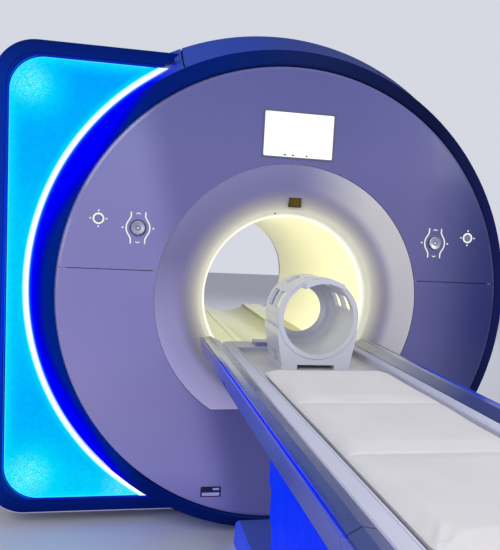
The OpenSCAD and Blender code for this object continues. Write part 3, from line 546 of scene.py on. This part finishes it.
def pedestal_material():
    """Painted covers glowing in painted saturated blue light: painted shade just under each stage
    edge with a painted highlight on the lip above it, painted highlights where the corner turns and
    on the plinth's left bevel, and less glow on faces turned away and towards the foot end.
    """
    n = Nodes("pedestal_blue")
    x, y, z = n.xyz()
    colour = n.along(z, 0.0, PEDESTAL_TOP, (0.0, 0, 56, 252), (0.55, 0, 46, 246),
                     (1.0, 0, 36, 236))
    front = n.span(y, -1.61, -1.64)
    # Painted shade just under each stage edge, a painted highlight on the lip above it
    stops = [(0.0, 0.88)]
    for low in STAGE_EDGES:
        stops += [((low + d) / PEDESTAL_TOP, g) for d, g in
                  ((-0.016, 0.88), (-0.0006, 0.62), (0.0006, 0.96), (0.008, 0.96), (0.010, 0.88))]
    band = n.ramp(n.span(z, 0.0, PEDESTAL_TOP, smooth=False), [(p, (g, g, g)) for p, g in stops])
    colour = n.mix(1.0, n.mix(front, lin(80, 100, 196), colour), band, "MULTIPLY")
    n.feed("Base Color", n.tint(colour, (0.9, 0.9, 0.92), 2.2, 4))
    dot = n.add("ShaderNodeVectorMath", operation="DOT_PRODUCT")
    n.link(n.add("ShaderNodeNewGeometry").outputs["Normal"], dot.inputs[0])
    dot.inputs[1].default_value = (-0.80, -0.60, 0.0)
    facing = dot.outputs["Value"]
    # Painted highlight where the rounded corner faces the light
    corner_highlight = n.span(facing, 0.955, 0.995)
    # Painted highlight on the plinth's left bevel
    bevel = n.times(n.span(x, -0.160, -0.166), n.math("SUBTRACT", 1.0, front))
    n.feed("Emission Color", n.mix(corner_highlight, lin(0, 52, 255), lin(90, 140, 255)))
    n.set(Specular_IOR_Level=0.02)
    # Painted blue light: less on faces turned away and towards the foot end
    glow = n.times(front, n.span(corner_highlight, 0.0, 1.0, 0.38, 0.56), band,
                   n.span(facing, -0.5, 0.5, 0.25, 1.0), n.span(y, -2.20, -2.56, 1.0, 0.55))
    n.feed("Emission Strength", n.math("ADD", glow, n.times(bevel, 0.40)))
    n.feed("Roughness", n.waver(18, 3, 0.34, 0.46))
    n.grain(170, 0.03)
    return n


def top_material():
    """Moulded tabletop, greyer where it reaches the dim end of the bore's mouth."""
    n = Nodes("tabletop_white")
    x, y, z = n.xyz()
    colour = n.along(y, *TABLE_Y, (0.0, 216, 218, 236), (0.45, 210, 212, 234),
                     (0.8, 182, 184, 206), (1.0, 152, 155, 172))
    field = n.times(n.span(n.math("ABSOLUTE", x), 0.2475, 0.2455), n.span(z, 0.868, 0.862))
    colour = n.mix(field, colour, lin(190, 190, 196))
    n.feed("Base Color", n.tint(colour, (0.92, 0.92, 0.93), 2, 4))
    n.feed("Roughness", n.waver(8, 3, 0.34, 0.42))
    n.set(Specular_IOR_Level=0.25)
    n.grain(140, 0.008)
    return n


def pad_material():
    """Coated fabric: soft sheen, fine weave and faint creases."""
    n = Nodes("pad_cloth")
    n.varied(lin(224, 221, 222), 0.04, 6, 0.55, 0.07, 0)
    crease = n.noise(11, 5, (1, 0.5, 1), 0.6)
    n.bump(n.math("ADD", crease, n.times(n.noise(420, 2), 0.12)), 0.35, 0.004)
    n.set(Sheen_Weight=0.2, Sheen_Roughness=0.5)
    return n


M = {
    "cover_white": cover_material(),
    "funnel": funnel_material(),
    "shell_grey": shell_material(),
    "rim_navy": rim_material(),
    "liner_ivory": bore_material("liner_ivory", (238, 236, 214), 0.42, 0.2),
    "guide_ivory": bore_material("guide_ivory", (190, 194, 160), 0.02, 0.0),
    "light_warm": ring_material(),
    "panel_dark": frame_material(),
    "panel_glow": glow_material(),
    "arc_glow": arc_material(),
    "housing": plastic("housing", (58, 66, 118), 0.4),
    "bezel": plastic("bezel", (84, 88, 112), 0.5),
    "screen_lit": lit("screen_lit", (253, 253, 255), 1.0),
    "marks_lit": lit("marks_lit", (240, 244, 228), 0.95),
    "control_grey": plastic("control_grey", (118, 114, 164), 0.3, 0.2),
    "amber": plastic("amber", (92, 72, 2), 0.6, 0.0, 0.5, scale=90.0),
    "lens_frame": plastic("lens_frame", (52, 42, 24), 0.4),
    "dark_label": plastic("dark_label", (14, 18, 52), 0.35),
    "screen_mark": plastic("screen_mark", (160, 160, 214), 0.4),
    "steel": metal("steel", (176, 178, 190)),
    "steel_dark": plastic("steel_dark", (48, 50, 60), 0.45),
    "winding": metal("winding", (190, 140, 96), 0.4),
    "coil_resin": plastic("coil_resin", (84, 92, 70), 0.5),
    "pedestal_blue": pedestal_material(),
    "rail_grey": rail_material(),
    "band_lavender": band_material(),
    "end_cover": end_material(),
    "tabletop_white": top_material(),
    "pad_cloth": pad_material(),
    "belt_rubber": plastic("belt_rubber", (24, 24, 26), 0.6, grain=0.2),
    "coil_white": plastic("coil_white", (196, 198, 210), 0.35, 0.2),
}
M["amber"].set(Specular_IOR_Level=0.1)

# Each node takes the material of its slot, apart from the few that need one of their own
SLOT = {s["node"]: s["material_slot"] for s in frame["record"]["subparts"]}
SPECIAL = {"funnel": "funnel", "table_guide": "guide_ivory", "chassis": "housing",
           "end_covers": "end_cover"}
for name, obj in frame["nodes"].items():
    m = M[SPECIAL.get(name, SLOT[name])].mat
    if obj.material_slots:
        for s in obj.material_slots:
            s.material = m
    else:
        obj.data.materials.append(m)


# Tools for the pieces made here

def made(name, bm, material, smooth=True):
    """An object from a bmesh, with its material."""
    me = bpy.data.meshes.new(name)
    bmesh.ops.recalc_face_normals(bm, faces=bm.faces)
    bm.to_mesh(me)
    bm.free()
    o = bpy.data.objects.new(name, me)
    bpy.context.scene.collection.objects.link(o)
    me.materials.append(M[material].mat)
    for p in me.polygons:
        p.use_smooth = smooth
    return o


def new_mesh(name, bm, material, body, smooth=True):
    """A made object that rides a body and counts to a material slot."""
    o = made(name, bm, material, smooth)
    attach(o, body)


def bridge(bm, a, b):
    """Faces between two closed rows of points."""
    n = len(a)
    for i in range(n):
        bm.faces.new((a[i], a[(i + 1) % n], b[(i + 1) % n], b[i]))


def rounded(x0, x1, y0, y1, r, n=8):
    """Outline of a rounded rectangle, counter-clockwise."""
    pts = []
    for cx, cy, a0 in ((x1 - r, y1 - r, 0), (x0 + r, y1 - r, 90), (x0 + r, y0 + r, 180),
                       (x1 - r, y0 + r, 270)):
        for i in range(n + 1):
            a = math.radians(a0 + 90 * i / n)
            pts.append((cx + r * math.cos(a), cy + r * math.sin(a)))
    return pts


def oval(u, v, ru, rv, n):
    """Outline of an ellipse."""
    turns = [2 * math.pi * k / n for k in range(n)]
    return [(u + ru * math.cos(a), v + rv * math.sin(a)) for a in turns]


def tube(name, pts, r, material, body, closed=True):
    """A thin round strip along a run of points."""
    sides = 8
    bm = bmesh.new()
    n = len(pts)
    rings = []
    for i, p in enumerate(pts):
        before, after = (i - 1, (i + 1) % n) if closed else (max(i - 1, 0), min(i + 1, n - 1))
        a = (Vector(pts[after]) - Vector(pts[before])).normalized()
        side = (a.orthogonal() if abs(a.z) > 0.99 else a.cross(Vector((0, 0, 1)))).normalized()
        up = side.cross(a)
        rings.append([bm.verts.new(Vector(p) + r * (math.cos(t) * side + math.sin(t) * up))
                      for t in [2 * math.pi * k / sides for k in range(sides)]])
    for i in range(n if closed else n - 1):
        bridge(bm, rings[i], rings[(i + 1) % n])
    if not closed:
        bm.faces.new(rings[0])
        bm.faces.new(rings[-1])
    new_mesh(name, bm, material, body)


def plate(name, pts, to3, thick, material, body, edge=0.0006):
    """A thin plate with a chamfered edge; to3(u, v, w) places it, w outwards."""
    cu = sum(p[0] for p in pts) / len(pts)
    cv = sum(p[1] for p in pts) / len(pts)
    w = max(abs(p[0] - cu) for p in pts)
    h = max(abs(p[1] - cv) for p in pts)
    bm = bmesh.new()
    rows = []
    for t, e in ((0, 0), (thick - edge, 0), (thick, edge)):
        rows.append([bm.verts.new(to3(cu + (u - cu) * (1 - e / w), cv + (v - cv) * (1 - e / h), t))
                     for u, v in pts])
    for a, b in zip(rows, rows[1:]):
        bridge(bm, a, b)
    bm.faces.new(rows[0])
    bm.faces.new(rows[-1])
    new_mesh(name, bm, material, body, smooth=False)


def frame_plate(name, outer, inner, to3, thick, material, body):
    """A flat frame between two outlines with the same number of points."""
    bm = bmesh.new()
    rows = [[bm.verts.new(to3(u, v, t)) for u, v in pts]
            for pts, t in ((outer, 0), (outer, thick), (inner, thick), (inner, 0))]
    for a, b in zip(rows, rows[1:] + rows[:1]):
        bridge(bm, a, b)
    new_mesh(name, bm, material, body, smooth=False)


def on_face(depth=0.0):
    """Front-face placing: u to the right, v above the bore axis, w towards the viewer."""
    return lambda u, v, w: (u, FACE_Y + depth - w, AXIS_Z + v)


# Soft mattress: a pad swollen by cloth simulation, with welded cross seams and a piped edge

def apply_modifiers(obj):
    """Replaces the object's mesh by its evaluated one."""
    graph = bpy.context.evaluated_depsgraph_get()
    old, obj.data = obj.data, bpy.data.meshes.new_from_object(obj.evaluated_get(graph))
    obj.modifiers.clear()
    bpy.data.meshes.remove(old)


def swell(obj, held, cap, frames=20):
    """Cloth under pressure; held(co) says which points stay, others move by cap at most."""
    start = [v.co.copy() for v in obj.data.vertices]
    group = obj.vertex_groups.new(name="held")
    group.add([i for i, co in enumerate(start) if held(co)], 1.0, "REPLACE")
    cloth = obj.modifiers.new("cloth", "CLOTH")
    cloth.settings.quality = 6
    cloth.settings.use_pressure = True
    cloth.settings.uniform_pressure_force = 4.0
    cloth.settings.effector_weights.gravity = 0.0
    cloth.settings.vertex_group_mass = "held"
    cloth.collision_settings.use_collision = False
    cloth.point_cache.frame_start, cloth.point_cache.frame_end = 1, frames
    for f in range(1, frames + 1):
        bpy.context.scene.frame_set(f)
    apply_modifiers(obj)
    bpy.context.scene.frame_set(1)
    obj.vertex_groups.clear()
    for v, a in zip(obj.data.vertices, start):
        d = v.co - a
        v.co = a + d * min(1.0, cap / max(1e-9, d.length))


def spread(a, b, n, tight):
    """Places from a to b, closer together towards both ends."""
    out = []
    for i in range(n + 1):
        t = 2 * i / n - 1
        k = math.copysign(1 - (1 - abs(t)) ** tight, t)
        out.append((a + b) / 2 + (b - a) / 2 * k)
    return out


def roundness(d, r):
    """Height of a quarter circle of radius r at the distance d from its foot, from 0 to 1."""
    return math.sqrt(max(0.0, 1 - (1 - min(1, d / r)) ** 2))


def make_mattress():
    lo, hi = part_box("mattress")
    margin = 0.002
    x0, x1, y0, y1 = lo[0] + margin, hi[0] - margin, lo[1] + margin, hi[1] - margin
    z0, z1 = lo[2], hi[2]
    cx, cy, hx, hy = (x0 + x1) / 2, (y0 + y1) / 2, (x1 - x0) / 2, (y1 - y0) / 2
    corner, shoulder, sole, pull = 0.028, 0.018, 0.012, 0.004
    columns, rows = 44, 150
    swelling = 0.007
    zm = z0 + 0.45 * (z1 - z0)
    flat = z1 - swelling - 0.001
    seams = (y0 + 0.34 * (y1 - y0), y0 + 0.67 * (y1 - y0))

    def waist(v):
        """How far the long sides pull in at v, from -1 at the foot to 1 at the head."""
        return pull * (1 - v ** 2) * 0.25 * (1 + math.cos(2 * math.pi * v))

    def place(x, y):
        """A point of the rounded, slightly waisted outline, and its distance from the edge."""
        u, v = (x - cx) / hx, (y - cy) / hy
        w = hx - waist(v)
        px, py = u * w, v * hy
        ex, ey = w - corner, hy - corner
        if abs(px) > ex and abs(py) > ey:
            dx, dy = abs(px) - ex, abs(py) - ey
            m = max(dx, dy)
            k = m / max(1e-9, math.hypot(dx, dy))
            px = math.copysign(ex + dx * k, px)
            py = math.copysign(ey + dy * k, py)
            d = corner - m
        else:
            d = min(w - abs(px), hy - abs(py))
        return cx + px, cy + py, max(0.0, d)

    bm = bmesh.new()
    top, bottom = [], []
    for j, y in enumerate(spread(y0, y1, rows, 1.25)):
        upper, under = [], []
        for i, x in enumerate(spread(x0, x1, columns, 1.7)):
            px, py, d = place(x, y)
            tv = bm.verts.new((px, py, zm + (flat - zm) * roundness(d, shoulder)))
            edge = i in (0, columns) or j in (0, rows)
            bv = tv if edge else bm.verts.new((px, py, zm - (zm - z0) * roundness(d, sole)))
            upper.append(tv)
            under.append(bv)
        top.append(upper)
        bottom.append(under)
    for grid, flip in ((top, False), (bottom, True)):
        for a, b in zip(grid, grid[1:]):
            for i in range(columns):
                f = (a[i], a[i + 1], b[i + 1], b[i])
                bm.faces.new(f[::-1] if flip else f)
    pad = made("soft_mattress", bm, "pad_cloth")
    remesh = pad.modifiers.new("remesh", "REMESH")
    remesh.mode = "VOXEL"
    remesh.voxel_size = 0.008
    apply_modifiers(pad)

    def held(co):
        """The underside, the piped edge and the welded seams stay where they are."""
        by_side = hx - abs(co.x - cx) < 0.012 or hy - abs(co.y - cy) < 0.012
        on_edge = abs(co.z - zm) < 0.005 and by_side
        return co.z < z0 + 0.004 or on_edge or any(abs(co.y - s) < 0.005 for s in seams)

    swell(pad, held, swelling)
    sub = pad.modifiers.new("sub", "SUBSURF")
    sub.levels = sub.render_levels = 1
    apply_modifiers(pad)
    for v in pad.data.vertices:
        x, y, z = v.co
        k = max(0.0, min(1.0, (z - zm) / (z1 - swelling - zm)))
        for s in seams:
            groove = 0.0035 * math.exp(-((y - s) / 0.005) ** 2)
            dip = 0.002 * math.exp(-((y - s) / 0.04) ** 2)
            z -= (groove + dip) * k
        z -= 0.0006 * k * (1 + math.sin(x * 31 + y * 9) * math.sin(y * 17 - x * 6))
        v.co = (min(max(x, lo[0]), hi[0]), min(max(y, lo[1]), hi[1]), min(max(z, z0), z1))
    pad.data.materials.clear()
    pad.data.materials.append(M["pad_cloth"].mat)
    for p in pad.data.polygons:
        p.use_smooth = True
    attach(pad, "table_slide_body")
    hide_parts("mattress")

    inset, stride = 0.0005, 0.03
    run = rounded(x0 + inset, x1 - inset, y0 + inset, y1 - inset, corner, 6)
    pts = []
    for a, b in zip(run, run[1:] + run[:1]):
        n = max(1, int(math.dist(a, b) / stride))
        for i in range(n):
            u, v = a[0] + (b[0] - a[0]) * i / n, a[1] + (b[1] - a[1]) * i / n
            pts.append((cx + (u - cx) * (1 - waist((v - cy) / hy) / hx), v, zm))
    tube("mattress_piping", pts, 0.0022, "pad_cloth", "table_slide_body")


# Small fittings

def face_fittings():
    """Marks on the lit screen, and the bare plate with its two fields low on the left."""
    for i, (u, w) in enumerate(((-0.062, 0.012), (-0.028, 0.012), (0.034, 0.008))):
        plate(f"screen_mark_{i}", rounded(u, u + w, 0.603, 0.609, 0.002, 3), on_face(0.0),
              0.0006, "bezel", "gantry", 0.0002)
    thick = 0.0018
    plate("blank_plate", rounded(-0.338, -0.251, -0.850, -0.805, 0.004, 4), on_face(0.0), thick,
          "dark_label", "gantry")
    for name, outline in (("blank_plate_field", (-0.332, -0.257, -0.845, -0.831, 0.002, 3)),
                          ("blank_plate_mark", (-0.286, -0.259, -0.820, -0.812, 0.001, 3))):
        plate(name, rounded(*outline), on_face(-thick), 0.0005, "screen_mark", "gantry",
              0.0002)


def arc_seal():
    """Lit seal in the gap between the light arc and the shell."""
    steps, r = 60, ARC_R - 0.0216
    a0, a1 = [math.pi - math.asin((z - DISC_Z) / r) for z in (ARC_HI[2], ARC_LO[2])]
    turns = [a0 + (a1 - a0) * i / steps for i in range(steps + 1)]
    tube("arc_seal", [(r * math.cos(a), ARC_LO[1] + 0.0016, DISC_Z + r * math.sin(a))
                      for a in turns],
         0.0017, "arc_glow", "gantry", closed=False)


def screen_edge():
    """Thin dark frame that laps over the screen's edge and the cover."""
    lo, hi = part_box("screen")
    w, low, high = hi[0], lo[2] - AXIS_Z, hi[2] - AXIS_Z
    out, lap = 0.0042, 0.0020
    frame_plate("screen_edge", rounded(-w - out, w + out, low - out, high + out, 0.007, 4),
                rounded(-w + lap, w - lap, low + lap, high - lap, 0.005, 4), on_face(0.0), 0.0010,
                "bezel", "gantry")


def mouth_fittings():
    """Frame of the amber lens and the small dark sensor beside it."""
    x, v, depth = 0.006, 0.412, 0.020
    frame_plate("lens_rim", rounded(x - 0.0245, x + 0.0245, v - 0.0185, v + 0.0185, 0.003, 4),
                rounded(x - 0.0195, x + 0.0195, v - 0.0135, v + 0.0135, 0.002, 4),
                on_face(depth), 0.0012, "lens_frame", "gantry")
    plate("mouth_sensor", oval(-0.074, 0.362, 0.0035, 0.0035, 16), on_face(0.0440), 0.004,
          "dark_label", "gantry", 0.0008)


def side_fittings():
    """Grommets in the side bands' holes, and the lit marks on the dials' buttons."""
    for side, sx in (("left", -1), ("right", 1)):
        def on_band(u, v, w, sx=sx):
            """The band leans in by 14 mm over its height of 64 mm."""
            return (sx * (0.3740 - (-0.166 - v) * 14 / 64 + w), u, AXIS_Z + v)
        plate(f"band_grommet_{side}", oval(-1.448, -0.2165, 0.0050, 0.0095, 20), on_band, 0.0012,
              "belt_rubber", "table_lift_body", 0.0006)
    dial_v = 0.272
    for side, x in (("left", -0.644), ("right", 0.644)):
        mark = [(x - 0.0045, dial_v - 0.003), (x + 0.0045, dial_v - 0.003), (x, dial_v + 0.005)]
        plate(f"dial_mark_{side}", mark, on_face(-0.0078), 0.0005, "marks_lit",
              f"jog_{side}_push", 0.0003)


make_mattress()
face_fittings()
arc_seal()
screen_edge()
mouth_fittings()
side_fittings()


# Floor, light and camera

def make_floor():
    bm = bmesh.new()
    s = 14.0
    bm.faces.new([bm.verts.new((x, y, -0.0006)) for x, y in ((-s, -s), (s, -s), (s, s), (-s, s))])
    me = bpy.data.meshes.new("floor")
    bm.to_mesh(me)
    bm.free()
    o = bpy.data.objects.new("floor", me)
    bpy.context.scene.collection.objects.link(o)
    n = Nodes("floor_pale")
    n.set(Base_Color=(*lin(206, 208, 216), 1), Roughness=0.55)
    me.materials.append(n.mat)


def area(name, place, target, size, power):
    d = bpy.data.lights.new(name, "AREA")
    d.shape = "RECTANGLE"
    d.size, d.size_y = size
    d.energy = power
    o = bpy.data.objects.new(name, d)
    bpy.context.scene.collection.objects.link(o)
    o.location = place
    o.rotation_mode = "QUATERNION"
    o.rotation_quaternion = (Vector(target) - Vector(place)).to_track_quat("-Z", "Y")


def make_world():
    """A pale backdrop for what is seen or mirrored, and a dimmer light for the rest."""
    world = bpy.data.worlds.new("studio")
    bpy.context.scene.world = world
    world.use_nodes = True
    nodes, links = world.node_tree.nodes, world.node_tree.links
    nodes.clear()
    out = nodes.new("ShaderNodeOutputWorld")
    mix = nodes.new("ShaderNodeMixShader")
    for i, (rgb, strength) in enumerate((((236, 238, 248), 0.42), ((214, 216, 226), 1.0))):
        light = nodes.new("ShaderNodeBackground")
        light.inputs[0].default_value = (*lin(*rgb), 1)
        light.inputs[1].default_value = strength
        links.new(light.outputs[0], mix.inputs[1 + i])
    rays = nodes.new("ShaderNodeLightPath").outputs
    seen = rays["Is Camera Ray"]
    for kind in ("Is Glossy Ray", "Is Transmission Ray"):
        either = nodes.new("ShaderNodeMath")
        either.operation = "MAXIMUM"
        links.new(seen, either.inputs[0])
        links.new(rays[kind], either.inputs[1])
        seen = either.outputs[0]
    links.new(seen, mix.inputs[0])
    links.new(mix.outputs[0], out.inputs[0])


def make_camera():
    """Camera solved from the bore's and the gantry's circles, in an image of 500 x 550."""
    yaw, pitch, roll = 0.204, -0.078, 0.055
    focal, image_height, sensor = 669.975, 550.0, 36.0
    data = bpy.data.cameras.new("camera")
    cam = bpy.data.objects.new("camera", data)
    bpy.context.scene.collection.objects.link(cam)
    bpy.context.scene.camera = cam
    data.sensor_width = sensor
    data.lens = focal / image_height * sensor
    data.clip_end = 60.0
    ahead = Vector((math.sin(yaw) * math.cos(pitch), math.cos(yaw) * math.cos(pitch),
                    math.sin(pitch)))
    right = Vector((math.cos(yaw), -math.sin(yaw), 0.0))
    up = right.cross(ahead)
    rolled_right = right * math.cos(roll) + up * math.sin(roll)
    rolled_up = -right * math.sin(roll) + up * math.cos(roll)
    cam.rotation_mode = "QUATERNION"
    cam.rotation_quaternion = Matrix((rolled_right, rolled_up, -ahead)).transposed().to_quaternion()
    cam.location = (-0.740, -3.593, 1.378)


make_floor()
area("key", (-3.5, -6.0, 5.0), (0, -1.2, 0.9), (4, 3), 170)
area("low", (-4.6, -6.5, 1.5), (0, -1.0, 0.6), (4, 2.4), 112)
area("fill", (4.5, -5.0, 3.5), (0, -1.2, 0.9), (4, 3), 110)
area("top", (0, -1.0, 6.0), (0, -1.0, 0), (5, 5), 40)
area("back", (2.5, 6.0, 4.5), (0, 0, 1.0), (4, 3), 160)
make_world()
make_camera()

bpy.context.scene.view_settings.view_transform = "Standard"
